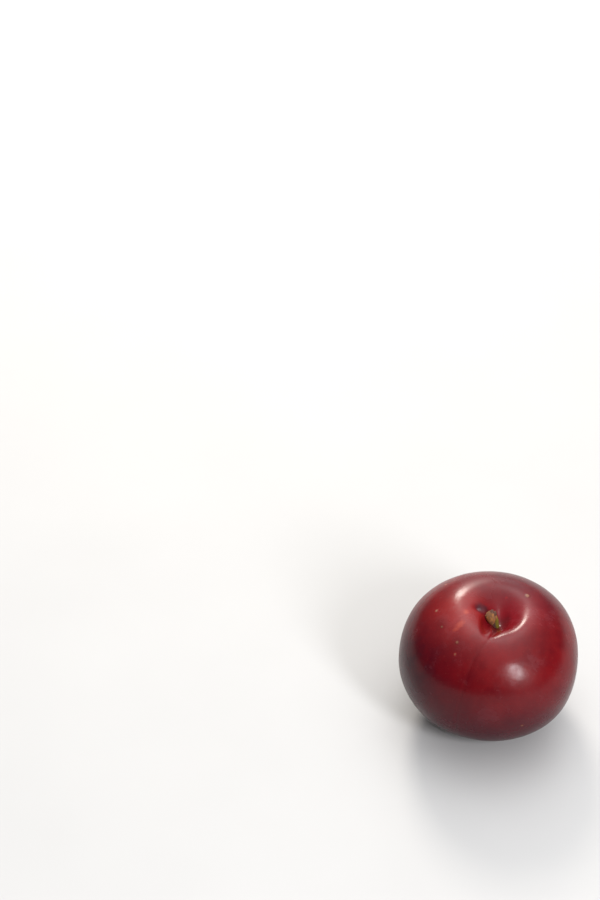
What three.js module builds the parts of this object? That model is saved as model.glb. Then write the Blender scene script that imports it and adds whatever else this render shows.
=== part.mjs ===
// A ripe red plum, resting on the small flat that its own weight gives it, with the torn stub
// of its stalk in the stem cavity. Lengths are millimetres, angles degrees. +Z is up, +X is
// the right and -Y the front. The origin is on the surface below, under the middle of the
// fruit. The fruit is drawn in a frame of its own, whose Z runs along the stalk axis from the
// blossom end to the crown, and is then leaned and lowered onto the surface.
import * as THREE from 'three';
import { mergeVertices } from 'three/addons/utils/BufferGeometryUtils.js';

// The body: two half superellipsoids that meet at the equator.
const EQUATOR_RADIUS = 31.6;
const CROWN = { height: 26.3, fullness: 2.15 };
const BLOSSOM_END = { height: 26.2, fullness: 2.2 };
// How the equator swells out of round: a wave of so many lobes, with a crest toward an azimuth.
const SWELLS = [
  { lobes: 2, height: 0.51, toward: 21 },
  { lobes: 3, height: 0.33, toward: -50 },
  { lobes: 4, height: 0.42, toward: -42 },
];

// The stem cavity: a shallow dish, a crisper bowl inside it, and dips in the bowl's floor. x and
// y are each one's centre, from the stalk axis. A bowl is round, and may be drawn out to a point
// so far from its centre, toward an azimuth, where the suture enters it. Its edge may be softer
// there, within a span of that azimuth and from start to full millimetres off the centre.
const BOWL_TIP_RADIUS = 2.0;
const POINT_SOFTNESS = 0.2;
const SOFT_EDGE = { span: 60, start: 3, full: 8 };
const BOWLS = [
  { x: 0.1, y: 1.2, radius: 12.9, point: 12.9, toward: -101, slope: 0.27, edge: 1.6, pointEdge: 1.6 },
  { x: 2.2, y: 2.6, radius: 9.1, point: 14.4, toward: -101.5, slope: 0.49, edge: 1.8, pointEdge: 3.3 },
];
const FUNNEL = { x: 2.0, y: -1.9, halfWidth: 4.6, halfDepth: 4.2, depth: 3.0, fullness: 2.2 };
const POCKET = { x: -3.3, y: -5.8, halfWidth: 1.8, halfDepth: 4.6, depth: 1.7, fullness: 3.2 };
const PIT = { x: -6.1, y: 1.0, halfWidth: 1.9, halfDepth: 1.5, depth: 0.7, fullness: 2.2 };
// The cavity cuts only the upper side, in full where a direction rises by this much or more.
const CAVITY_RISE = 0.35;

// The suture: a faint line down the fruit's side that bends as it leaves the cavity, and the
// deep notch it starts in.
const SUTURE = {
  fromAzimuth: -91.5, toAzimuth: -108, bendStart: 5, bendEnd: 22,
  start: 8, full: 18, depth: 0.1, width: 0.6,
};
const NOTCH = {
  depth: 1.9, leftWidth: 0.8, rightWidth: 1.9, fullness: 1.3, start: 0, full: 6, fade: 7, end: 14,
};

// How it stands.
const LEAN_FRONT = 5.2;
const LEAN_RIGHT = 3.9;
const EQUATOR_CENTRE = new THREE.Vector3(0.3, -0.2, 25.5);
const FLAT_EDGE_SOFTNESS = 0.4;

// The stalk stub, in the fruit's frame: torn open down its front, with the bark left behind.
const STALK_FOOT = { x: 0.5, y: -1.5 };
const STALK_RISE = new THREE.Vector3(-2.5, 0.9, 5.9);
const STALK_HALF_WIDTH = { foot: 1.5, waist: 2.4, tip: 2.1 };
const STALK_HALF_THICKNESS = { foot: 1.5, waist: 1.5, tip: 1.5 };
const TEAR = { toward: -130, drop: 0.7, dome: 1.5 };
const STALK_GAP = 0.35;

// Mesh fineness: divisions along a side of the six patches, and how much closer than even the
// points lie at the crown.
const FRUIT_DIVISIONS = 27;
const CROWN_CROWDING = 0.55;
const STALK_SIDES = 24;
const STALK_RINGS = 9;

const radians = THREE.MathUtils.degToRad;
const { smoothstep, lerp } = THREE.MathUtils;
const lean = new THREE.Matrix4()
  .makeRotationY(radians(LEAN_RIGHT))
  .multiply(new THREE.Matrix4().makeRotationX(radians(LEAN_FRONT)));

// An angle brought between half a turn back and half a turn on.
function wrapped(angle) {
  return Math.atan2(Math.sin(angle), Math.cos(angle));
}

function equatorRadius(azimuth, across) {
  return SWELLS.reduce(
    (radius, { lobes, height, toward }) =>
      radius + height * across ** lobes * Math.cos(lobes * (azimuth - radians(toward))),
    EQUATOR_RADIUS,
  );
}

// Distance from the fruit's middle to its uncut skin in a direction.
function bodyRadius(direction) {
  const across = Math.hypot(direction.x, direction.y);
  const radius = equatorRadius(Math.atan2(direction.y, direction.x), across);
  const { height, fullness } = direction.z > 0 ? CROWN : BLOSSOM_END;
  const sum = (across / radius) ** fullness + (Math.abs(direction.z) / height) ** fullness;
  return sum ** (-1 / fullness);
}

// A cone-like bowl whose slope sets in softly at its edge. Straight sides, tangent to the round
// edge, run out to its point.
function bowlDepth(placeX, placeY, bowl) {
  const x = placeX - bowl.x;
  const y = placeY - bowl.y;
  const turn = Math.hypot(wrapped(Math.atan2(y, x) - radians(bowl.toward)), POINT_SOFTNESS);
  const tangent = Math.acos(bowl.radius / bowl.point);
  const inside = Math.hypot(x, y) * Math.cos(Math.max(tangent - turn, 0));
  const out = Math.hypot(inside, BOWL_TIP_RADIUS);
  const near = smoothstep(Math.cos(turn), Math.cos(radians(SOFT_EDGE.span)), 1);
  const toPoint = near * smoothstep(out, SOFT_EDGE.start, SOFT_EDGE.full);
  const edge = lerp(bowl.edge, bowl.pointEdge, toPoint);
  return bowl.slope * edge * Math.log1p(Math.exp((bowl.radius - out) / edge));
}

function dipDepth(x, y, dip) {
  const out = Math.hypot((x - dip.x) / dip.halfWidth, (y - dip.y) / dip.halfDepth);
  return dip.depth * Math.exp(-(out ** dip.fullness));
}

// How far a place is past the suture's line, anticlockwise. The line bends as it leaves the
// cavity, and along says how far down the fruit's side the place is.
function pastSuture(x, y, along) {
  const bend = smoothstep(along, SUTURE.bendStart, SUTURE.bendEnd);
  const line = radians(lerp(SUTURE.fromAzimuth, SUTURE.toAzimuth, bend));
  return Math.hypot(x, y) * wrapped(Math.atan2(y, x) - line);
}

// The suture's deep start, where it leaves the cavity.
function notchDepth(x, y) {
  const along = Math.hypot(x, y);
  const past = pastSuture(x, y, along);
  const width = past > 0 ? NOTCH.rightWidth : NOTCH.leftWidth;
  const run = smoothstep(along, NOTCH.start, NOTCH.full) * (1 - smoothstep(along, NOTCH.fade, NOTCH.end));
  return NOTCH.depth * run * Math.exp(-(Math.abs(past / width) ** NOTCH.fullness));
}

function cavityDepth(x, y) {
  const bowls = BOWLS.reduce((depth, bowl) => depth + bowlDepth(x, y, bowl), 0);
  const dips = [FUNNEL, POCKET, PIT].reduce((depth, dip) => depth + dipDepth(x, y, dip), 0);
  return bowls + dips + notchDepth(x, y);
}

// The shallow line down the fruit's side, at a point of the uncut skin.
function sutureDepth({ x, y, z }) {
  const out = Math.hypot(x, y);
  const along = z > 0 ? out : 2 * EQUATOR_RADIUS - out;
  const past = pastSuture(x, y, along);
  const run = smoothstep(out, SUTURE.start, SUTURE.full);
  return SUTURE.depth * run * Math.exp(-((past / SUTURE.width) ** 2));
}

// The skin in a direction from the fruit's middle, in the fruit's frame.
function skinPoint(direction) {
  const point = direction.clone().multiplyScalar(bodyRadius(direction));
  point.addScaledVector(direction, -sutureDepth(point));
  point.z -= cavityDepth(point.x, point.y) * smoothstep(direction.z, 0, CAVITY_RISE);
  return point;
}

// Height of the cavity's floor or wall over a place near the stalk axis.
function floorHeight(x, y) {
  const out = (Math.hypot(x, y) / EQUATOR_RADIUS) ** CROWN.fullness;
  return CROWN.height * (1 - out) ** (1 / CROWN.fullness) - cavityDepth(x, y);
}

// Leans a point of the fruit's frame and presses the underside flat on the surface.
function stand(point) {
  point.applyMatrix4(lean).add(EQUATOR_CENTRE);
  const soft = FLAT_EDGE_SOFTNESS;
  if (point.z < -soft) point.z = 0;
  else if (point.z < soft) point.z = (point.z + soft) ** 2 / (4 * soft);
  return point;
}

// Moves every vertex of a closed geometry and keeps only its positions.
function reshape(geometry, move) {
  geometry.deleteAttribute('normal');
  geometry.deleteAttribute('uv');
  const merged = mergeVertices(geometry);
  const positions = merged.attributes.position;
  for (let i = 0; i < positions.count; i += 1) {
    const point = move(new THREE.Vector3().fromBufferAttribute(positions, i));
    positions.setXYZ(i, point.x, point.y, point.z);
  }
  merged.computeVertexNormals();
  return merged;
}

// A box's divided sides blown up to an even ball, with its points drawn toward the crown.
function ballDirection(boxPoint) {
  const even = (value) => Math.tan((value * Math.PI) / 4);
  const direction = new THREE.Vector3(even(boxPoint.x), even(boxPoint.y), even(boxPoint.z));
  direction.normalize();
  const across = Math.hypot(direction.x, direction.y);
  const angle = Math.atan2(across, direction.z);
  const drawn = angle - (CROWN_CROWDING * Math.sin(angle) * (1 + Math.cos(angle))) / 2;
  const spread = across > 0 ? Math.sin(drawn) / across : 1;
  return direction.set(direction.x * spread, direction.y * spread, Math.cos(drawn));
}

function fruitGeometry() {
  const box = new THREE.BoxGeometry(2, 2, 2, FRUIT_DIVISIONS, FRUIT_DIVISIONS, FRUIT_DIVISIONS);
  return reshape(box, (boxPoint) => stand(skinPoint(ballDirection(boxPoint))));
}

function sizeAlong({ foot, waist, tip }, up) {
  return up < 0.5
    ? lerp(foot, waist, smoothstep(up, 0, 0.5))
    : lerp(waist, tip, smoothstep(up, 0.5, 1));
}

// Turns a point of an upright unit cylinder into one of the stub. Each side of it climbs from
// the cavity's floor, and the torn side stops short of the bark side.
function stalkPoint({ x, y, z }) {
  const onWall = Math.hypot(x, y) > 0.5;
  const turn = Math.atan2(y, x) - radians(TEAR.toward);
  const standing = onWall ? (1 - Math.cos(turn)) / 2 : 0.5;
  const up = (z + 0.5) * (1 - TEAR.drop * (1 - standing));
  const across = 1 - (1 - up) ** 2;
  const dome = onWall || z < 0 ? 0 : TEAR.dome;
  const footX = STALK_FOOT.x + x * STALK_HALF_WIDTH.foot;
  const footY = STALK_FOOT.y + y * STALK_HALF_THICKNESS.foot;
  const lowest = floorHeight(footX, footY) + STALK_GAP;
  const highest = floorHeight(STALK_FOOT.x, STALK_FOOT.y) + STALK_GAP + STALK_RISE.z;
  return new THREE.Vector3(
    STALK_FOOT.x + STALK_RISE.x * across + x * sizeAlong(STALK_HALF_WIDTH, up),
    STALK_FOOT.y + STALK_RISE.y * up + y * sizeAlong(STALK_HALF_THICKNESS, up) - dome,
    lerp(lowest, highest, up) + dome,
  );
}

function stalkGeometry() {
  const cylinder = new THREE.CylinderGeometry(1, 1, 1, STALK_SIDES, STALK_RINGS);
  cylinder.rotateX(Math.PI / 2);
  return reshape(cylinder, (point) => stand(stalkPoint(point)));
}

function piece(name, geometry, material) {
  const mesh = new THREE.Mesh(geometry, new THREE.MeshStandardMaterial(material));
  mesh.name = name;
  return mesh;
}

const plum = new THREE.Group();
plum.name = 'plum';
plum.add(
  piece('fruit', fruitGeometry(), { color: 0x7d1b22, roughness: 0.32, metalness: 0 }),
  piece('stalk', stalkGeometry(), { color: 0xa27240, roughness: 0.8, metalness: 0 }),
);

export default plum;
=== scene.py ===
"""A ripe red plum on a pale table: its fine skin, the torn stub of its stalk, light and camera.

Shapes are worked out in millimetres in the fruit's own frame, whose Z runs along the stalk
axis, by the same formulas as the CAD model, and written to the meshes in metres.
"""
import math

import bpy
import numpy as np
from mathutils import Matrix, Vector, noise


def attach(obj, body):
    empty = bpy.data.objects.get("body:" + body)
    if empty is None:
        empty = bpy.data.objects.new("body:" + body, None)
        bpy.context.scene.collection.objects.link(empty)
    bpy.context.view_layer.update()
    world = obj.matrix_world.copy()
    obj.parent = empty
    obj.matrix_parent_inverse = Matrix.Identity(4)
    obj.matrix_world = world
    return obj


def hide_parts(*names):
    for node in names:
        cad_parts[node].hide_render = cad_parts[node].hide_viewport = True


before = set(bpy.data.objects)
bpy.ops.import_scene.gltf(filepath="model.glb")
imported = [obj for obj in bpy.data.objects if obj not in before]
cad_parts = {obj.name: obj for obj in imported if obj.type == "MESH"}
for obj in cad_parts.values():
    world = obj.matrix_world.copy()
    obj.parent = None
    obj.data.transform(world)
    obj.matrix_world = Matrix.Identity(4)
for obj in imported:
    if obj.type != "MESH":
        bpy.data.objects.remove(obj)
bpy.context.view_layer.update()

MM = 0.001

# ---- Shape, in millimetres and degrees --------------------------------------------------

# The body: two half superellipsoids that meet at the equator, which swells out of round in
# waves of so many lobes.
EQUATOR_RADIUS = 31.6
CROWN = {"height": 26.3, "fullness": 2.15}
BLOSSOM_END = {"height": 26.2, "fullness": 2.2}
SWELLS = (
    {"lobes": 2, "height": 0.51, "toward": 21},
    {"lobes": 3, "height": 0.33, "toward": -50},
    {"lobes": 4, "height": 0.42, "toward": -42},
)

# The stem cavity: a shallow dish, a crisper bowl inside it, and dips in the bowl's floor. Each
# bowl is round, and may be drawn out to a point where the suture enters it. Its edge may be
# softer there, within a span of the point's azimuth and from start to full out from its centre.
BOWL_TIP_RADIUS = 2.0
POINT_SOFTNESS = 0.2
SOFT_EDGE = {"span": 60, "start": 3, "full": 8}
BOWLS = (
    {"x": 0.1, "y": 1.2, "radius": 12.9, "point": 12.9, "toward": -101, "slope": 0.27,
     "edge": 1.6, "point_edge": 1.6},
    {"x": 2.2, "y": 2.6, "radius": 9.1, "point": 14.4, "toward": -101.5, "slope": 0.49,
     "edge": 1.8, "point_edge": 3.3},
)
FUNNEL = {"x": 2.0, "y": -1.9, "half_width": 4.6, "half_depth": 4.2, "depth": 3.0, "fullness": 2.2}
POCKET = {"x": -3.3, "y": -5.8, "half_width": 1.8, "half_depth": 4.6, "depth": 1.7, "fullness": 3.2}
PIT = {"x": -6.1, "y": 1.0, "half_width": 1.9, "half_depth": 1.5, "depth": 0.7, "fullness": 2.2}
# The cavity cuts only the upper side, in full where a direction rises by this much or more.
CAVITY_RISE = 0.35

# The suture: a faint line down the fruit's side, and the deep notch it starts in.
SUTURE = {"from_azimuth": -91.5, "to_azimuth": -108, "bend_start": 5, "bend_end": 22,
          "start": 8, "full": 18, "depth": 0.1, "width": 0.6}
NOTCH = {"depth": 1.9, "left_width": 0.8, "right_width": 1.9, "fullness": 1.3,
         "start": 0, "full": 6, "fade": 7, "end": 14}

# How the fruit stands.
LEAN_FRONT = 5.2
LEAN_RIGHT = 3.9
EQUATOR_CENTRE = np.array([0.3, -0.2, 25.5])
FLAT_EDGE_SOFTNESS = 0.4

# The stalk stub: torn open down its front, with the bark left behind. It starts so far under
# the skin.
STALK_FOOT = {"x": 0.5, "y": -1.5}
STALK_RISE = {"x": -2.5, "y": 0.9, "z": 5.9}
STALK_HALF_WIDTH = {"foot": 1.5, "waist": 2.4, "tip": 2.1}
STALK_HALF_THICKNESS = {"foot": 1.5, "waist": 1.5, "tip": 1.5}
TEAR = {"toward": -130, "drop": 0.7, "dome": 1.5}
STALK_SUNK = 0.5
# Green rind stands along its right side, set off from the torn face by a groove.
RIND = {"toward": 8, "low": 0.28, "high": 0.66, "groove": 0.5, "groove_width": 0.13}
RIND_EDGE = {"low": -0.06, "high": 0.08}
RIND_TOP = {"low": 1.2, "high": 0.6}
# Bark covers its wall, and the part of the torn face that stands highest has weathered.
BARK_EDGE = {"low": 0.9, "high": 0.99}
BARK_TOP = {"low": 1.0, "high": 0.8}
WEATHERED = {"low": 0.55, "high": 0.85}
WEATHERED_SHARE = 0.65
# Lumps and upright ridges roughen it.
STALK_ROUGHNESS = 0.12
STALK_LUMPS = {"size": 0.55, "seed": 3.0}
STALK_RIDGES = {"size": 0.22, "seed": 7.0, "share": 0.6, "stretch": 4}

# Broad, low swellings of the skin.
UNDULATIONS = (
    {"size": 14.0, "height": 0.16, "seed": 1.0},
    {"size": 5.5, "height": 0.035, "seed": 5.0},
)

# Mesh fineness: divisions along a side of the fruit's six patches, how much closer than even
# the points lie at the crown, and the margin between the patches on their flat map. The stub's
# divisions are round it, up it, and in over its torn face.
FRUIT_DIVISIONS = 126
CROWN_CROWDING = 0.5
MAP_MARGIN = 0.01
STALK_SIDES = 96
STALK_RINGS = 60
STALK_FACE_RINGS = 16


def smoothstep(value, low, high):
    t = np.clip((value - low) / (high - low), 0, 1)
    return t * t * (3 - 2 * t)


def lerp(first, second, share):
    return first + (second - first) * share


def wrapped(angle):
    """An angle brought between half a turn back and half a turn on."""
    return np.arctan2(np.sin(angle), np.cos(angle))


def unit(azimuth, angle):
    """The direction at an azimuth, and so many degrees from the crown."""
    azimuth, angle = math.radians(azimuth), math.radians(angle)
    across = math.sin(angle)
    return np.array([across * math.cos(azimuth), across * math.sin(azimuth), math.cos(angle)])


def body_radius(direction):
    """Distance from the fruit's middle to its uncut skin in each direction."""
    across = np.hypot(direction[:, 0], direction[:, 1])
    azimuth = np.arctan2(direction[:, 1], direction[:, 0])
    radius = np.full(len(direction), EQUATOR_RADIUS)
    for swell in SWELLS:
        wave = np.cos(swell["lobes"] * (azimuth - math.radians(swell["toward"])))
        radius += swell["height"] * across ** swell["lobes"] * wave
    up = direction[:, 2] > 0
    height = np.where(up, CROWN["height"], BLOSSOM_END["height"])
    fullness = np.where(up, CROWN["fullness"], BLOSSOM_END["fullness"])
    total = (across / radius) ** fullness + (np.abs(direction[:, 2]) / height) ** fullness
    return total ** (-1 / fullness)


def bowl_depth(x, y, bowl):
    """A cone-like bowl whose slope sets in softly at its edge. Straight sides, tangent to the
    round edge, run out to its point."""
    x, y = x - bowl["x"], y - bowl["y"]
    turn = np.hypot(wrapped(np.arctan2(y, x) - math.radians(bowl["toward"])), POINT_SOFTNESS)
    tangent = math.acos(bowl["radius"] / bowl["point"])
    inside = np.hypot(x, y) * np.cos(np.maximum(tangent - turn, 0))
    out = np.hypot(inside, BOWL_TIP_RADIUS)
    near = smoothstep(np.cos(turn), math.cos(math.radians(SOFT_EDGE["span"])), 1)
    to_point = near * smoothstep(out, SOFT_EDGE["start"], SOFT_EDGE["full"])
    edge = lerp(bowl["edge"], bowl["point_edge"], to_point)
    return bowl["slope"] * edge * np.logaddexp(0, (bowl["radius"] - out) / edge)


def dip_depth(x, y, dip):
    out = np.hypot((x - dip["x"]) / dip["half_width"], (y - dip["y"]) / dip["half_depth"])
    return dip["depth"] * np.exp(-out ** dip["fullness"])


def past_suture(x, y, along):
    """How far a place is past the suture's line, anticlockwise. The line bends as it leaves
    the cavity, and along says how far down the fruit's side the place is."""
    bend = smoothstep(along, SUTURE["bend_start"], SUTURE["bend_end"])
    line = np.radians(lerp(SUTURE["from_azimuth"], SUTURE["to_azimuth"], bend))
    return np.hypot(x, y) * wrapped(np.arctan2(y, x) - line)


def notch_share(x, y):
    """How deep in the suture's start places are, where it leaves the cavity: 1 at its deepest."""
    along = np.hypot(x, y)
    past = past_suture(x, y, along)
    width = np.where(past > 0, NOTCH["right_width"], NOTCH["left_width"])
    begun = smoothstep(along, NOTCH["start"], NOTCH["full"])
    faded = smoothstep(along, NOTCH["fade"], NOTCH["end"])
    return begun * (1 - faded) * np.exp(-np.abs(past / width) ** NOTCH["fullness"])


def cavity_depth(x, y):
    bowls = sum(bowl_depth(x, y, bowl) for bowl in BOWLS)
    dips = sum(dip_depth(x, y, dip) for dip in (FUNNEL, POCKET, PIT))
    return bowls + dips + NOTCH["depth"] * notch_share(x, y)


def suture_share(points):
    """How near points of the skin are to the suture's line, down the fruit's side: 1 on it."""
    out = np.hypot(points[:, 0], points[:, 1])
    along = np.where(points[:, 2] > 0, out, 2 * EQUATOR_RADIUS - out)
    past = past_suture(points[:, 0], points[:, 1], along)
    run = smoothstep(out, SUTURE["start"], SUTURE["full"])
    return run * np.exp(-(past / SUTURE["width"]) ** 2)


def skin_points(direction):
    """The skin in each direction from the fruit's middle, in the fruit's frame."""
    points = direction * body_radius(direction)[:, None]
    points -= direction * (SUTURE["depth"] * suture_share(points))[:, None]
    upper = smoothstep(direction[:, 2], 0, CAVITY_RISE)
    points[:, 2] -= cavity_depth(points[:, 0], points[:, 1]) * upper
    return points


def spot_place(spot):
    """Where a spot's middle lies on the skin, in the fruit's frame."""
    return skin_points(unit(spot["azimuth"], spot["angle"])[None])[0]


def floor_height(x, y):
    """Height of the cavity's floor or wall over a place near the stalk axis."""
    out = (np.hypot(x, y) / EQUATOR_RADIUS) ** CROWN["fullness"]
    return CROWN["height"] * (1 - out) ** (1 / CROWN["fullness"]) - cavity_depth(x, y)


LEAN = (Matrix.Rotation(math.radians(LEAN_RIGHT), 3, "Y")
        @ Matrix.Rotation(math.radians(LEAN_FRONT), 3, "X"))


def stand(points):
    """Leans points of the fruit's frame and presses the underside flat on the table."""
    placed = points @ np.array(LEAN).T + EQUATOR_CENTRE
    z, soft = placed[:, 2], FLAT_EDGE_SOFTNESS
    placed[:, 2] = np.where(z < -soft, 0, np.where(z < soft, (z + soft) ** 2 / (4 * soft), z))
    return placed


def noise_at(points, size, seed):
    """Smooth noise, about -1 to 1, with bumps of the given size."""
    shift = Vector((seed, seed * 1.7, seed * 2.3))
    return np.array([noise.noise(Vector(point) / size + shift) for point in points])


# ---- Meshes -----------------------------------------------------------------------------

# The six sides of a cube: the ways across, along and out of each.
CUBE_SIDES = (
    ((1, 0, 0), (0, 1, 0), (0, 0, 1)),
    ((1, 0, 0), (0, -1, 0), (0, 0, -1)),
    ((0, 1, 0), (0, 0, 1), (1, 0, 0)),
    ((0, -1, 0), (0, 0, 1), (-1, 0, 0)),
    ((-1, 0, 0), (0, 0, 1), (0, 1, 0)),
    ((1, 0, 0), (0, 0, 1), (0, -1, 0)),
)
QUAD_CORNERS = ((0, 0), (1, 0), (1, 1), (0, 1))
SAME_POINT = 1e-6


def drawn_to_crown(directions):
    """Directions moved toward the crown, where the finest shapes are."""
    across = np.hypot(directions[:, 0], directions[:, 1])
    angle = np.arctan2(across, directions[:, 2])
    drawn = angle - CROWN_CROWDING * np.sin(angle) * (1 + np.cos(angle)) / 2
    spread = np.sin(drawn) / np.maximum(across, SAME_POINT)
    return np.stack([directions[:, 0] * spread, directions[:, 1] * spread, np.cos(drawn)], -1)


def ball(divisions):
    """Directions and quads of a divided cube blown up to an even ball, and each quad corner's
    place on the flat map of the cube's six sides, three to a row."""
    even = np.tan(np.linspace(-1, 1, divisions + 1) * math.pi / 4)
    first_way, second_way = np.meshgrid(even, even, indexing="ij")
    row, column = np.meshgrid(np.arange(divisions), np.arange(divisions), indexing="ij")
    corners = [(row + i, column + j) for i, j in QUAD_CORNERS]
    quad = np.stack([i * (divisions + 1) + j for i, j in corners], -1).reshape(-1, 4)
    place = np.stack([np.stack([i, j], -1) for i, j in corners], -2).reshape(-1, 4, 2) / divisions
    points, quads, places = [], [], []
    for number, (across, along, out) in enumerate(CUBE_SIDES):
        side = first_way[..., None] * np.array(across) + second_way[..., None] * np.array(along)
        points.append((side + np.array(out)).reshape(-1, 3))
        quads.append(number * (divisions + 1) ** 2 + quad)
        cell = np.array([number % 3, number // 3])
        places.append((cell + MAP_MARGIN + place * (1 - 2 * MAP_MARGIN)) / np.array([3, 2]))
    points = np.concatenate(points)
    points /= np.linalg.norm(points, axis=1, keepdims=True)
    rounded = np.round(points / SAME_POINT).astype(np.int64)
    _, kept, merged = np.unique(rounded, axis=0, return_index=True, return_inverse=True)
    return points[kept], merged.reshape(-1)[np.concatenate(quads)], np.concatenate(places)


def new_piece(name, points, faces, material):
    """A smooth mesh object from points in the part's frame, in millimetres."""
    mesh = bpy.data.meshes.new(name)
    mesh.from_pydata((points * MM).tolist(), [], [tuple(face) for face in faces])
    mesh.polygons.foreach_set("use_smooth", [True] * len(mesh.polygons))
    mesh.materials.append(material)
    mesh.update()
    piece = bpy.data.objects.new(name, mesh)
    bpy.context.scene.collection.objects.link(piece)
    return piece


def add_shares(piece, shares):
    """Stores a number from 0 to 1 at each point of the mesh, for its material to read."""
    for name, values in shares.items():
        layer = piece.data.attributes.new(name, "FLOAT", "POINT")
        layer.data.foreach_set("value", values)


def mark_height(points, mark):
    """How far a corky mark raises the skin. Its ring is sunken."""
    out = np.linalg.norm(points - spot_place(mark), axis=1) / mark["radius"]
    ring = np.exp(-((out - MARK_RING["out"]) / MARK_RING["width"]) ** 2)
    return mark["height"] * (np.exp(-out ** 4) - MARK_RING["depth"] * ring)


def fruit_mesh(material):
    """The skin, with each point's share of the suture, of its notch and of the funnel."""
    cube, quads, places = ball(FRUIT_DIVISIONS)
    directions = drawn_to_crown(cube)
    points = skin_points(directions)
    for wave in UNDULATIONS:
        bumps = wave["height"] * noise_at(points, wave["size"], wave["seed"])
        points += directions * bumps[:, None]
    for mark in MARKS:
        points += directions * mark_height(points, mark)[:, None]
    piece = new_piece("plum_fruit", stand(points), quads, material)
    x, y = points[:, 0], points[:, 1]
    upper = points[:, 2] > 0
    add_shares(piece, {
        "seam": suture_share(points),
        "crease": notch_share(x, y) * upper,
        "hollow": dip_depth(x, y, FUNNEL) / FUNNEL["depth"] * upper,
    })
    layer = piece.data.uv_layers.new(name="OFBake")
    layer.data.foreach_set("uv", places.reshape(-1))
    return piece


def size_along(sizes, up):
    """A half width or thickness part of the way up, from those of the foot, waist and tip."""
    lower = lerp(sizes["foot"], sizes["waist"], smoothstep(up, 0, 0.5))
    upper = lerp(sizes["waist"], sizes["tip"], smoothstep(up, 0.5, 1))
    return np.where(up < 0.5, lower, upper)


def stalk_points(x, y, up_share, standing, lift):
    """Points of the stub, from places on a unit disc and how far up their own column they are.
    A column that isn't standing in full stops short, where the stub is torn away."""
    up = up_share * (1 - TEAR["drop"] * (1 - standing))
    across = 1 - (1 - up) ** 2
    foot_x = STALK_FOOT["x"] + x * STALK_HALF_WIDTH["foot"]
    foot_y = STALK_FOOT["y"] + y * STALK_HALF_THICKNESS["foot"]
    lowest = floor_height(foot_x, foot_y) - STALK_SUNK
    highest = floor_height(STALK_FOOT["x"], STALK_FOOT["y"]) + STALK_RISE["z"]
    return np.stack([
        STALK_FOOT["x"] + STALK_RISE["x"] * across + x * size_along(STALK_HALF_WIDTH, up),
        STALK_FOOT["y"] + STALK_RISE["y"] * up + y * size_along(STALK_HALF_THICKNESS, up) - lift,
        lerp(lowest, highest, up) + lift,
    ], -1)


def stalk_rings():
    """The stub's rings, as how far out they are, how far up and how much lifted: out under the
    foot, up the side, then in over the torn face to its middle."""
    rings = [(0.0, 0.0, 0.0)]
    for ring in range(STALK_RINGS + 1):
        rings.append((1.0, ring / STALK_RINGS, 0.0))
    for ring in range(1, STALK_FACE_RINGS):
        turn = ring / STALK_FACE_RINGS * math.pi / 2
        rings.append((math.cos(turn), 1.0, TEAR["dome"] * math.sin(turn)))
    rings.append((0.0, 1.0, TEAR["dome"]))
    return rings


def tube_faces(rings, sides):
    """Quads between full rings, with fans to the single points at both ends."""
    faces = []
    last = 1 + rings * sides
    for side in range(sides):
        after = (side + 1) % sides
        faces.append((0, 1 + after, 1 + side))
        for first in range(1, last - sides, sides):
            faces.append((first + side, first + after, first + sides + after, first + sides + side))
        faces.append((last - sides + side, last - sides + after, last))
    return faces


def past_rind(x, y, up_share):
    """How far places on the unit disc are past the line where the rind begins."""
    toward = math.radians(RIND["toward"])
    return x * math.cos(toward) + y * math.sin(toward) - lerp(RIND["low"], RIND["high"], up_share)


def stalk_roughness(points, past):
    """How far out the stub's surface is moved: lumps, upright ridges and the rind's groove."""
    upright = points * np.array([1, 1, 1 / STALK_RIDGES["stretch"]])
    lumps = noise_at(points, STALK_LUMPS["size"], STALK_LUMPS["seed"])
    ridges = noise_at(upright, STALK_RIDGES["size"], STALK_RIDGES["seed"])
    groove = RIND["groove"] * np.exp(-(past / RIND["groove_width"]) ** 2)
    return STALK_ROUGHNESS * (lumps + STALK_RIDGES["share"] * ridges) - groove


def stalk_mesh(material):
    """The stub, with each point's share of bark and of green rind."""
    turns = np.linspace(0, 2 * math.pi, STALK_SIDES, endpoint=False)
    rings = stalk_rings()
    disc = []
    for out, up_share, lift in rings:
        around = turns if out > 0 else turns[:1]
        disc += [(out, turn, up_share, lift) for turn in around]
    out, turn, up_share, lift = np.array(disc).T
    x, y = out * np.cos(turn), out * np.sin(turn)
    standing = (1 - np.cos(turn - math.radians(TEAR["toward"])) * out) / 2
    past = past_rind(x, y, up_share)
    points = stalk_points(x, y, up_share, standing, lift)
    outward = points - points.mean(axis=0)
    outward /= np.linalg.norm(outward, axis=1, keepdims=True)
    points += outward * stalk_roughness(points, past)[:, None]
    faces = tube_faces(len(rings) - 2, STALK_SIDES)
    piece = new_piece("plum_stalk", stand(points), faces, material)
    wall = smoothstep(out, **BARK_EDGE) * smoothstep(up_share, **BARK_TOP)
    weathered = WEATHERED_SHARE * smoothstep(standing, **WEATHERED) * up_share
    add_shares(piece, {
        "bark": np.maximum(wall, weathered),
        "rind": smoothstep(past, **RIND_EDGE) * smoothstep(up_share, **RIND_TOP),
    })
    return piece


# ---- Materials --------------------------------------------------------------------------

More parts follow.
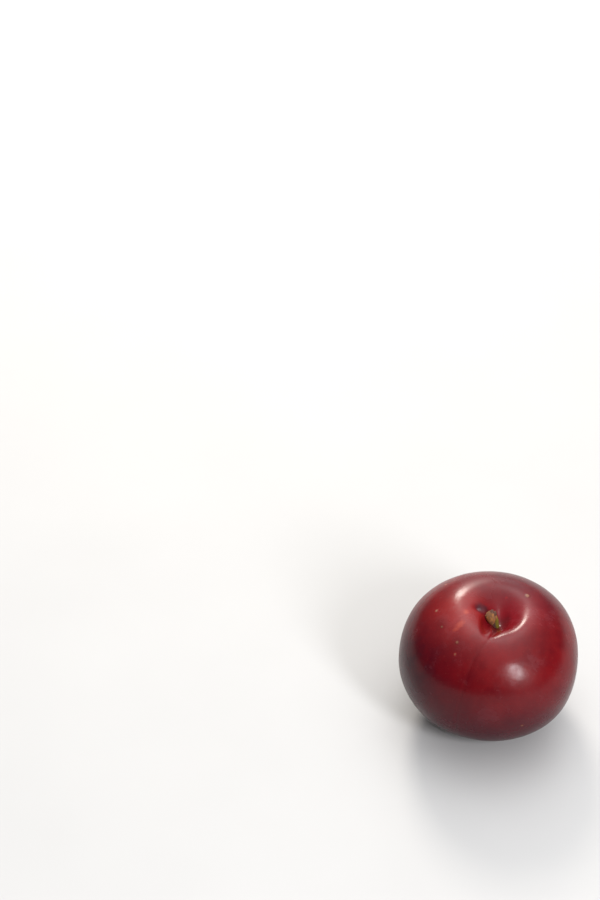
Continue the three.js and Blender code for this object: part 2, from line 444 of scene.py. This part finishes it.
class Tree:
    """The nodes of a material or world, added and linked in the order they are worked out."""

    def __init__(self, owner, shader="Principled BSDF"):
        owner.use_nodes = True
        self.nodes = owner.node_tree.nodes
        self.links = owner.node_tree.links
        self.shader = self.nodes[shader]

    def add(self, kind, inputs, **settings):
        """A new node of the kind, with its inputs set or linked."""
        node = self.nodes.new(kind)
        for name, value in settings.items():
            setattr(node, name, value)
        for name, value in inputs.items():
            self.feed(node.inputs[name], value)
        return node

    def feed(self, socket, value):
        if isinstance(value, bpy.types.NodeSocket):
            self.links.new(value, socket)
        else:
            socket.default_value = value

    def math(self, operation, *values):
        inputs = dict(enumerate(values))
        return self.add("ShaderNodeMath", inputs, operation=operation).outputs[0]

    def band(self, value, low, high, start=0.0, end=1.0):
        """Maps low..high to start..end with soft ends, and holds beyond them."""
        inputs = {"Value": value, "From Min": low, "From Max": high, "To Min": start, "To Max": end}
        return self.add("ShaderNodeMapRange", inputs, interpolation_type="SMOOTHSTEP").outputs["Result"]

    def share(self, name):
        """A number stored at each point of the mesh."""
        return self.add("ShaderNodeAttribute", {}, attribute_name=name).outputs["Fac"]

    def blend(self, share, first, second):
        inputs = {"Factor": share, 6: first, 7: second}
        return self.add("ShaderNodeMix", inputs, data_type="RGBA").outputs[2]

    def noise(self, vector, size, detail=2.0, roughness=0.5):
        """Noise from 0 to 1 whose bumps are about so many millimetres across."""
        inputs = {"Vector": vector, "Scale": 1 / (size * MM), "Detail": detail,
                  "Roughness": roughness}
        return self.add("ShaderNodeTexNoise", inputs).outputs["Fac"]

    def pattern(self, vector, size, detail, roughness, low, high, start=0.0, end=1.0):
        """Noise whose stretch from low to high is mapped to start to end."""
        return self.band(self.noise(vector, size, detail, roughness), low, high, start, end)

    def vector_math(self, operation, *values, **inputs):
        inputs.update(enumerate(values))
        return self.add("ShaderNodeVectorMath", inputs, operation=operation).outputs

    def ragged(self, vector, size, far):
        """Places shifted by noise, up to so many millimetres, for ragged edges."""
        inputs = {"Vector": vector, "Scale": 1 / (size * MM), "Detail": 3.0}
        noise = self.add("ShaderNodeTexNoise", inputs).outputs["Color"]
        shift = self.vector_math("SUBTRACT", noise, (0.5, 0.5, 0.5))[0]
        shift = self.vector_math("SCALE", shift, Scale=far * MM)[0]
        return self.vector_math("ADD", vector, shift)[0]

    def distance(self, vector, place):
        return self.vector_math("DISTANCE", vector, place)["Value"]

    def near(self, vector, spot):
        """How near places are to a spot on the skin: 1 at its middle, 0 at its radius."""
        away = self.distance(vector, Vector(spot_place(spot) * MM))
        return self.band(away, spot["radius"] * MM, 0.0)

    def bump(self, height, depth, normal=None):
        """Bumps so many millimetres high where height goes from 0 to 1."""
        inputs = {"Height": height, "Distance": depth * MM}
        if normal is not None:
            inputs["Normal"] = normal
        return self.add("ShaderNodeBump", inputs).outputs["Normal"]


# Each spot on the skin is at an azimuth, so many degrees from the crown, with a radius in
# millimetres. These are corky marks, a little proud of a fine sunken ring. Their colours reach
# so many times their radius. The last is the scar that the blossom left.
MARK_RING = {"out": 1.5, "width": 0.4, "depth": 0.5}
MARK_REACH = {"ring": 2.0, "edge": 1.1, "core": 0.5}
CORK = (0.22, 0.085, 0.048, 1)
PALE_CORK = (0.32, 0.155, 0.10, 1)
CORK_RING = (0.13, 0.014, 0.012, 1)
RED_RING = (0.26, 0.018, 0.014, 1)
MARKS = (
    {"azimuth": 180, "angle": 45, "radius": 0.55, "height": 0.08, "core": PALE_CORK, "ring": RED_RING},
    {"azimuth": 42, "angle": 30, "radius": 0.8, "height": 0.10, "core": PALE_CORK, "ring": CORK_RING},
    {"azimuth": -132, "angle": 41, "radius": 0.55, "height": 0.05, "core": CORK, "ring": CORK_RING},
    {"azimuth": -158, "angle": 43, "radius": 0.4, "height": 0.04, "core": CORK, "ring": CORK_RING},
    {"azimuth": -65, "angle": 93, "radius": 0.5, "height": 0.06, "core": CORK, "ring": CORK_RING},
    {"azimuth": 142, "angle": 51, "radius": 0.45, "height": 0.05, "core": PALE_CORK, "ring": RED_RING},
    {"azimuth": -126, "angle": 48, "radius": 0.4, "height": 0.03, "core": CORK, "ring": RED_RING},
    {"azimuth": 75, "angle": 74, "radius": 0.7, "height": 0.08, "core": CORK, "ring": CORK_RING},
    {"azimuth": 118, "angle": 96, "radius": 0.45, "height": 0.05, "core": CORK, "ring": RED_RING},
    {"azimuth": 12, "angle": 81, "radius": 0.45, "height": 0.05, "core": PALE_CORK, "ring": RED_RING},
    {"azimuth": -170, "angle": 88, "radius": 0.55, "height": 0.06, "core": CORK, "ring": CORK_RING},
    {"azimuth": 0, "angle": 180, "radius": 0.9, "height": 0.0, "core": CORK, "ring": CORK_RING},
)

# Soft-edged patches: orange stains, a clear red patch, painted shade in the cavity and on the left
# shoulder, and a dark purple patch with a pale grey middle at the pit.
ORANGE_STAIN = (0.44, 0.060, 0.034, 1)
# Painted shade, for the cavity's slit, funnel and pocket and for the left shoulder.
PAINTED_SHADE_RED = (0.10, 0.004, 0.008, 1)
CLEAR_RED = (0.28, 0.006, 0.009, 1)
# Dark purple for the pit, also used as painted shade in the slit beside the stalk.
PIT_PURPLE_AND_SLIT_SHADE = (0.045, 0.010, 0.017, 1)
PIT_GREY = (0.20, 0.115, 0.125, 1)
STAINS_AND_SHADE = (
    {"azimuth": -169, "angle": 23.5, "radius": 1.5, "share": 0.7, "colour": ORANGE_STAIN},
    {"azimuth": -150, "angle": 28.5, "radius": 1.5, "share": 0.5, "colour": ORANGE_STAIN},
    {"azimuth": -148.5, "angle": 31, "radius": 1.8, "share": 0.55, "colour": ORANGE_STAIN},
    {"azimuth": -147, "angle": 33.5, "radius": 1.7, "share": 0.5, "colour": ORANGE_STAIN},
    {"azimuth": -145, "angle": 36, "radius": 1.2, "share": 0.45, "colour": ORANGE_STAIN},
    {"azimuth": 69, "angle": 19, "radius": 0.9, "share": 0.7, "colour": CLEAR_RED},
    # Painted shade: two on the left shoulder, one in the pocket, one in the slit left of the stalk, one
    # in the funnel right of it.
    {"azimuth": -162, "angle": 43, "radius": 4.5, "share": 0.45, "colour": PAINTED_SHADE_RED},
    {"azimuth": -129, "angle": 42, "radius": 5.0, "share": 0.4, "colour": PAINTED_SHADE_RED},
    {"azimuth": -120, "angle": 12.5, "radius": 5.0, "share": 0.5, "colour": PAINTED_SHADE_RED},
    {"azimuth": 180, "angle": 9.5, "radius": 2.6, "share": 0.7, "colour": PAINTED_SHADE_RED},
    {"azimuth": 11, "angle": 9.5, "radius": 2.6, "share": 0.6, "colour": PAINTED_SHADE_RED},
    # A dark purple patch with a pale grey middle at the pit, and painted shade in the slit beside the
    # stalk.
    {"azimuth": 165, "angle": 13.5, "radius": 3.3, "share": 0.9, "colour": PIT_PURPLE_AND_SLIT_SHADE},
    {"azimuth": 148, "angle": 10, "radius": 2.2, "share": 0.7, "colour": PIT_PURPLE_AND_SLIT_SHADE},
    {"azimuth": 171, "angle": 13.5, "radius": 1.1, "share": 0.8, "colour": PIT_GREY},
)

# Broad tints of the skin, with painted shade on its left side and in the funnel right of the stalk.
# Painted shade comes in toward the table, from a top height to a bottom one, along an edge that wavers.
SUNNED_RED = (0.36, 0.013, 0.010, 1)
# Darker red: painted shade on the left side, in the funnel and toward the table, and a darker tone on
# the back-right shoulder.
DARK_RED_AND_SHADE = (0.057, 0.0034, 0.0112, 1)
CAVITY_RED = (0.33, 0.007, 0.016, 1)
ZONES = (
    {"azimuth": -168, "angle": 37, "radius": 20, "share": 0.75, "colour": SUNNED_RED},
    {"azimuth": 20, "angle": 16, "radius": 14, "share": 0.65, "colour": CAVITY_RED},
    {"azimuth": -85, "angle": 30, "radius": 14, "share": 0.1, "colour": CAVITY_RED},
    # Darker on the back-right shoulder.
    {"azimuth": 60, "angle": 55, "radius": 28, "share": 0.75, "colour": DARK_RED_AND_SHADE},
    # Painted shade on the left side.
    {"azimuth": -155, "angle": 78, "radius": 33, "share": 1.0, "colour": DARK_RED_AND_SHADE},
    # Painted shade in the funnel right of the stalk.
    {"azimuth": -40, "angle": 5, "radius": 5, "share": 0.6, "colour": DARK_RED_AND_SHADE},
)
TABLE_SHADE = {"top": 43.0, "bottom": 10.0, "waver": 6.0, "size": 8.0, "share": 0.9}

# The patterns in the skin's colour and gloss. Each is noise of a size in millimetres that comes
# in from low to high. Streaks run along the stalk axis, where places are drawn together.
PATCHES = {"size": 15, "detail": 2, "roughness": 0.5, "low": 0.36, "high": 0.64}
STREAKS = {"size": 3.2, "detail": 3, "roughness": 0.5, "low": 0.3, "high": 0.7}
MOTTLE = {"size": 1.6, "detail": 3, "roughness": 0.6, "low": 0.3, "high": 0.7}
UNEVEN = {"size": 5, "detail": 3, "roughness": 0.55, "low": 0.35, "high": 0.65, "start": 0.7}
BLOOM_PATCHES = {"size": 9, "detail": 3, "roughness": 0.55, "low": 0.5, "high": 0.8}
BLOOM_GRAIN = {"size": 1.7, "detail": 3, "roughness": 0.65, "low": 0.25, "high": 0.6, "start": 0.4}
SEAM_BREAKS = {"size": 4, "detail": 2, "roughness": 0.5, "low": 0.2, "high": 0.6, "start": 0.3}
GLOSS = {"size": 2.2, "detail": 3, "roughness": 0.6, "low": 0.2, "high": 0.8,
         "start": 0.20, "end": 0.27}
ALONG_STREAKS = (1, 1, 0.22)
FRAYED_EDGE = {"size": 0.6, "far": 0.5}
TORN_EDGE = {"size": 1.1, "far": 1.7}
# The pale pores: how far apart, and their edge and middle as shares of that.
LENTICELS = {"spacing": 1.5, "edge": 0.17, "middle": 0.06}

# Painted shade darkens a crease or a hollow from a low to a high share of its depth.
DEEP = {"low": 0.45, "high": 0.9}

# How much of each colour shows where its pattern is at its fullest.
STREAK_SHARE = 0.22
MOTTLE_SHARE = 0.12
BLOOM_SHARE = 0.055
LENTICEL_SHARE = 0.07
SEAM_SHARE = 0.14
CREASE_SHADE_SHARE = 0.5
RING_SHARE = 0.6
CORE_SHARE = 0.8

# How much rougher than the clear skin the bloom, the notch's crease and the cork are.
BLOOM_ROUGHNESS = 0.12
CREASE_ROUGHNESS = 0.6
CORK_ROUGHNESS = 0.4
DULL_PATCH = {"azimuth": 120, "angle": 30, "radius": 9, "roughness": 0.15}
SKIN_IOR = 1.38

# Bumps too fine for the mesh.
PEEL = {"size": 1.5, "depth": 0.022}
FINE_PEEL = {"size": 0.35, "depth": 0.004}

DEEP_RED = (0.130, 0.0025, 0.0060, 1)
PLUM_RED = (0.180, 0.0035, 0.0065, 1)
BRIGHT_RED = (0.26, 0.010, 0.010, 1)
BLOOM = (0.44, 0.20, 0.25, 1)
LENTICEL_TAN = (0.50, 0.17, 0.10, 1)
SEAM_RED = (0.05, 0.0015, 0.004, 1)
# Painted shade for the bottoms of the notch and the funnel.
CREASE_SHADE_RED = (0.11, 0.002, 0.004, 1)


def ground_colour(tree, own):
    """The skin's own red, patchy, streaked and mottled."""
    along = tree.vector_math("MULTIPLY", own, ALONG_STREAKS)[0]
    streaks = tree.math("MULTIPLY", tree.pattern(along, **STREAKS), STREAK_SHARE)
    mottle = tree.math("MULTIPLY", tree.pattern(own, **MOTTLE), MOTTLE_SHARE)
    colour = tree.blend(tree.pattern(own, **PATCHES), DEEP_RED, PLUM_RED)
    colour = tree.blend(streaks, colour, BRIGHT_RED)
    return tree.blend(mottle, colour, DEEP_RED)


def tinted_and_shaded(tree, colour, own):
    """The side that had the sun, the cavity's tint, a darker back-right shoulder, and painted shade on
    the left side, in the funnel and toward the table.
    """
    uneven = tree.pattern(own, **UNEVEN)
    for zone in ZONES:
        share = tree.math("MULTIPLY", uneven, zone["share"])
        share = tree.math("MULTIPLY", tree.near(own, zone), share)
        colour = tree.blend(share, colour, zone["colour"])
    # Painted shade toward the table: darker lower down.
    place = tree.add("ShaderNodeTexCoord", {}).outputs["Object"]
    height = tree.add("ShaderNodeSeparateXYZ", {"Vector": place}).outputs["Z"]
    wavering = tree.noise(own, TABLE_SHADE["size"], 3.0)
    height = tree.math("MULTIPLY_ADD", wavering, TABLE_SHADE["waver"] * MM, height)
    middle = TABLE_SHADE["waver"] / 2
    table_shade = tree.band(height, (TABLE_SHADE["top"] + middle) * MM, (TABLE_SHADE["bottom"] + middle) * MM)
    return tree.blend(tree.math("MULTIPLY", table_shade, TABLE_SHADE["share"]), colour, DARK_RED_AND_SHADE)


def lenticelled(tree, colour, own):
    """The pale pores all over the skin."""
    inputs = {"Vector": own, "Scale": 1 / (LENTICELS["spacing"] * MM), "Randomness": 1.0}
    away = tree.add("ShaderNodeTexVoronoi", inputs).outputs["Distance"]
    dots = tree.band(away, LENTICELS["edge"], LENTICELS["middle"])
    return tree.blend(tree.math("MULTIPLY", dots, LENTICEL_SHARE), colour, LENTICEL_TAN)


def seamed_and_shaded(tree, colour, own, crease):
    """The darker suture, and painted shade in the bottoms of its notch and of the funnel."""
    seam = tree.math("MULTIPLY", tree.share("seam"), tree.pattern(own, **SEAM_BREAKS))
    colour = tree.blend(tree.math("MULTIPLY", seam, SEAM_SHARE), colour, SEAM_RED)
    # Painted shade in the notch's crease and the funnel's bottom.
    deep = tree.math("MAXIMUM", crease, tree.band(tree.share("hollow"), **DEEP))
    return tree.blend(tree.math("MULTIPLY", deep, CREASE_SHADE_SHARE), colour, CREASE_SHADE_RED)


def stained_and_shaded(tree, colour, own):
    # Stains, and patches of painted shade.
    torn = tree.ragged(own, **TORN_EDGE)
    for stain_or_shade_spot in STAINS_AND_SHADE:
        share = tree.math("MULTIPLY", tree.near(torn, stain_or_shade_spot), stain_or_shade_spot["share"])
        colour = tree.blend(share, colour, stain_or_shade_spot["colour"])
    return colour


def skin_material():
    """Patchy red skin under a thin bloom, with stains, cork marks, painted shade in its hollows, on its
    left side and toward the table, and a gloss that varies.
    """
    material = bpy.data.materials.new("plum_skin")
    tree = Tree(material)
    place = tree.add("ShaderNodeTexCoord", {}).outputs["Object"]
    inputs = {"Vector": place, "Location": EQUATOR_CENTRE * MM, "Rotation": LEAN.to_euler()}
    own = tree.add("ShaderNodeMapping", inputs, vector_type="TEXTURE").outputs[0]
    bloom = tree.math("MULTIPLY", tree.pattern(own, **BLOOM_PATCHES),
                      tree.pattern(own, **BLOOM_GRAIN))
    crease = tree.band(tree.share("crease"), **DEEP)

    colour = tinted_and_shaded(tree, ground_colour(tree, own), own)
    colour = tree.blend(tree.math("MULTIPLY", bloom, BLOOM_SHARE), colour, BLOOM)
    colour = seamed_and_shaded(tree, lenticelled(tree, colour, own), own, crease)
    colour = stained_and_shaded(tree, colour, own)

    roughness = tree.math("MULTIPLY_ADD", bloom, BLOOM_ROUGHNESS, tree.pattern(own, **GLOSS))
    dull = tree.near(own, DULL_PATCH)
    roughness = tree.math("MULTIPLY_ADD", dull, DULL_PATCH["roughness"], roughness)
    roughness = tree.math("MULTIPLY_ADD", crease, CREASE_ROUGHNESS, roughness)

    frayed = tree.ragged(own, **FRAYED_EDGE)
    for mark in MARKS:
        away = tree.distance(frayed, Vector(spot_place(mark) * MM))
        reach = {part: share * mark["radius"] * MM for part, share in MARK_REACH.items()}
        ring = tree.band(away, reach["ring"], reach["edge"])
        core = tree.band(away, reach["edge"], reach["core"])
        colour = tree.blend(tree.math("MULTIPLY", ring, RING_SHARE), colour, mark["ring"])
        colour = tree.blend(tree.math("MULTIPLY", core, CORE_SHARE), colour, mark["core"])
        roughness = tree.math("MULTIPLY_ADD", core, CORK_ROUGHNESS, roughness)

    tree.feed(tree.shader.inputs["Base Color"], colour)
    tree.feed(tree.shader.inputs["Roughness"], roughness)
    tree.shader.inputs["IOR"].default_value = SKIN_IOR
    peel = tree.bump(tree.noise(own, PEEL["size"]), PEEL["depth"])
    fine = tree.bump(tree.noise(own, FINE_PEEL["size"]), FINE_PEEL["depth"], peel)
    tree.feed(tree.shader.inputs["Normal"], fine)
    return material


RIND_GREEN = (0.20, 0.175, 0.014, 1)
BARK_BROWN = (0.10, 0.036, 0.023, 1)
BARK_DARK = (0.065, 0.020, 0.013, 1)
TORN_TAN = (0.29, 0.130, 0.055, 1)
TORN_ORANGE = (0.46, 0.190, 0.045, 1)
TORN_BROWN = (0.12, 0.042, 0.022, 1)

# The patterns in the stub's colour. Its fibres run up it, where places are drawn together.
FIBRES = {"size": 0.35, "detail": 4, "roughness": 0.65, "low": 0.3, "high": 0.7}
TORN_PATCHES = {"size": 1.3, "detail": 2, "roughness": 0.5, "low": 0.35, "high": 0.65}
ALONG_FIBRES = (1, 1, 0.3)
FIBRE_DEPTH = 0.06
# How much the fibres show on each surface, and how ragged they make the surfaces' edges.
FIBRE_SHARES = {"torn": 0.5, "bark": 0.6, "rind": 0.35}
RAGGEDNESS = 0.3
SURFACE_EDGE = {"low": 0.35, "high": 0.65}
STALK_GLOSS = {"torn": 0.75, "rind": 0.45}


def stalk_material():
    """Brown bark, green rind and an orange torn face, all with upright fibres."""
    material = bpy.data.materials.new("plum_stalk")
    tree = Tree(material)
    place = tree.add("ShaderNodeTexCoord", {}).outputs["Object"]
    upright = tree.vector_math("MULTIPLY", place, ALONG_FIBRES)[0]
    fibres = tree.pattern(upright, **FIBRES)
    torn = tree.blend(tree.pattern(place, **TORN_PATCHES), TORN_TAN, TORN_ORANGE)
    torn = tree.blend(tree.math("MULTIPLY", fibres, FIBRE_SHARES["torn"]), torn, TORN_BROWN)
    bark = tree.blend(tree.math("MULTIPLY", fibres, FIBRE_SHARES["bark"]), BARK_BROWN, BARK_DARK)
    rind = tree.blend(tree.math("MULTIPLY", fibres, FIBRE_SHARES["rind"]), RIND_GREEN, BARK_BROWN)
    ragged = tree.math("MULTIPLY", tree.math("SUBTRACT", fibres, 0.5), RAGGEDNESS)
    shares = {}
    for name in ("bark", "rind"):
        share = tree.math("ADD", tree.share(name), ragged)
        shares[name] = tree.band(share, **SURFACE_EDGE)
    colour = tree.blend(shares["bark"], torn, bark)
    tree.feed(tree.shader.inputs["Base Color"], tree.blend(shares["rind"], colour, rind))
    roughness = tree.band(shares["rind"], 0.0, 1.0, STALK_GLOSS["torn"], STALK_GLOSS["rind"])
    tree.feed(tree.shader.inputs["Roughness"], roughness)
    tree.feed(tree.shader.inputs["Normal"], tree.bump(fibres, FIBRE_DEPTH))
    return material


# What the camera sees of the table, and what the fruit is lit by.
TABLE_GREY = (0.58, 0.58, 0.577, 1)
TABLE_PALE = (0.62, 0.62, 0.617, 1)
TABLE_BOUNCE = (0.44, 0.44, 0.438, 1)
TABLE_CLOUDS = 60
TABLE_ROUGHNESS = 0.65


def table_material():
    """Plain pale matte board, with the faintest unevenness. It throws less light on the fruit
    than it shows the camera."""
    material = bpy.data.materials.new("table_top")
    tree = Tree(material)
    place = tree.add("ShaderNodeTexCoord", {}).outputs["Object"]
    seen = tree.blend(tree.noise(place, TABLE_CLOUDS, 3.0), TABLE_GREY, TABLE_PALE)
    camera_ray = tree.add("ShaderNodeLightPath", {}).outputs["Is Camera Ray"]
    tree.feed(tree.shader.inputs["Base Color"], tree.blend(camera_ray, TABLE_BOUNCE, seen))
    tree.shader.inputs["Roughness"].default_value = TABLE_ROUGHNESS
    return material


# ---- Stage: table, light and camera -----------------------------------------------------

# Two lamps, and soft glows round the studio where it is brighter than elsewhere. Places are
# given by azimuth, 0 on the camera's side and 90 on the right, and elevation.
LAMPS = (
    {"name": "front", "azimuth": 39.5, "elevation": 35, "distance": 0.9,
     "size": (0.18, 0.36), "watts": 4.6, "colour": (0.97, 0.97, 1.0)},
    {"name": "back", "azimuth": 195, "elevation": 36, "distance": 0.9,
     "size": (0.24, 0.24), "watts": 4.0, "colour": (1.0, 0.93, 0.84)},
)
GLOWS = (
    {"azimuth": 180, "elevation": 65, "strength": 1.9, "tightness": 6},
    {"azimuth": 180, "elevation": 65, "strength": 1.7, "tightness": 20},
    {"azimuth": 180, "elevation": 20, "strength": 1.5, "tightness": 20},
    {"azimuth": 60, "elevation": 65, "strength": 0.85, "tightness": 6},
    {"azimuth": 40, "elevation": 20, "strength": 1.1, "tightness": 20},
)
SKY_LIGHT = 0.03
SKY_BEHIND = 0.75
TABLE_SIZE = 6.0


def heading(azimuth, elevation):
    """The direction at an azimuth, 0 on the camera's side and 90 on the right, and elevation."""
    azimuth, elevation = math.radians(azimuth), math.radians(elevation)
    level = math.cos(elevation)
    return Vector((math.sin(azimuth) * level, -math.cos(azimuth) * level, math.sin(elevation)))


def add_lamp(name, azimuth, elevation, distance, size, watts, colour):
    """A round or oval lamp that faces the fruit's middle, unseen by the camera."""
    lamp = bpy.data.lights.new(name, "AREA")
    lamp.shape = "ELLIPSE"
    lamp.size, lamp.size_y = size
    lamp.energy, lamp.color = watts, colour
    holder = bpy.data.objects.new(name, lamp)
    bpy.context.scene.collection.objects.link(holder)
    toward = heading(azimuth, elevation)
    holder.location = Vector((0, 0, EQUATOR_CENTRE[2] * MM)) + toward * distance
    holder.rotation_euler = toward.to_track_quat("Z", "Y").to_euler()
    holder.visible_camera = False


def add_table():
    half = TABLE_SIZE / 2
    corners = [(-half, -half, 0), (half, -half, 0), (half, half, 0), (-half, half, 0)]
    mesh = bpy.data.meshes.new("table")
    mesh.from_pydata(corners, [], [(0, 1, 2, 3)])
    mesh.materials.append(table_material())
    table = bpy.data.objects.new("table", mesh)
    bpy.context.scene.collection.objects.link(table)


def add_sky():
    """Dim light from all round with the glows in it. The camera sees a pale backdrop instead."""
    world = bpy.data.worlds.new("studio")
    bpy.context.scene.world = world
    tree = Tree(world, "Background")
    toward = tree.add("ShaderNodeTexCoord", {}).outputs["Generated"]
    light = SKY_LIGHT
    for glow in GLOWS:
        middle = heading(glow["azimuth"], glow["elevation"])
        near = tree.vector_math("DOT_PRODUCT", toward, middle)["Value"]
        fall = tree.math("MULTIPLY_ADD", near, glow["tightness"], -glow["tightness"])
        light = tree.math("MULTIPLY_ADD", tree.math("EXPONENT", fall), glow["strength"], light)
    seen = tree.add("ShaderNodeLightPath", {}).outputs["Is Camera Ray"]
    shown = tree.add("ShaderNodeMix", {"Factor": seen, 2: light, 3: SKY_BEHIND}).outputs[0]
    tree.feed(tree.shader.inputs["Strength"], shown)
    tree.shader.inputs["Color"].default_value = (1, 1, 1, 1)


# The camera: 45 degrees above the fruit's middle and 976 mm away, with a 110 mm lens. It looks
# past the fruit, which is right of and below the middle of a 600 by 900 picture.
PICTURE = (600, 900)
AIM = Vector((0.8, -1.7, 26.5)) * MM
AIM_PIXEL = (490.5, 656.5)
CAMERA_ELEVATION = 45.0
CAMERA_DISTANCE = 0.976
LENS = 110.0
SENSOR = 36.0


def add_camera():
    """Turns the camera, level, so that the aim lands on its pixel."""
    away = heading(0, CAMERA_ELEVATION)
    focal = LENS / SENSOR * max(PICTURE)
    right = (AIM_PIXEL[0] - PICTURE[0] / 2) / focal
    up = (PICTURE[1] / 2 - AIM_PIXEL[1]) / focal
    ahead = 1 / math.sqrt(1 + right ** 2 + up ** 2)
    pan = math.asin(-right * ahead / -away.y)
    level, drop = -away.y * math.cos(pan), away.z
    tilt = math.atan2(drop, level) - math.acos(ahead / math.hypot(level, drop))
    lens = bpy.data.cameras.new("camera")
    lens.lens, lens.sensor_width = LENS, SENSOR
    camera = bpy.data.objects.new("camera", lens)
    bpy.context.scene.collection.objects.link(camera)
    camera.location = AIM + away * CAMERA_DISTANCE
    camera.rotation_euler = (math.pi / 2 - tilt, 0, -pan)
    bpy.context.scene.camera = camera


def build():
    add_camera()
    add_sky()
    add_table()
    for lamp in LAMPS:
        add_lamp(**lamp)
    bpy.context.scene.view_settings.view_transform = "Standard"

    fruit = fruit_mesh(skin_material())
    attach(fruit, "root")
    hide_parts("fruit")
    stalk = stalk_mesh(stalk_material())
    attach(stalk, "root")
    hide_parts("stalk")


build()
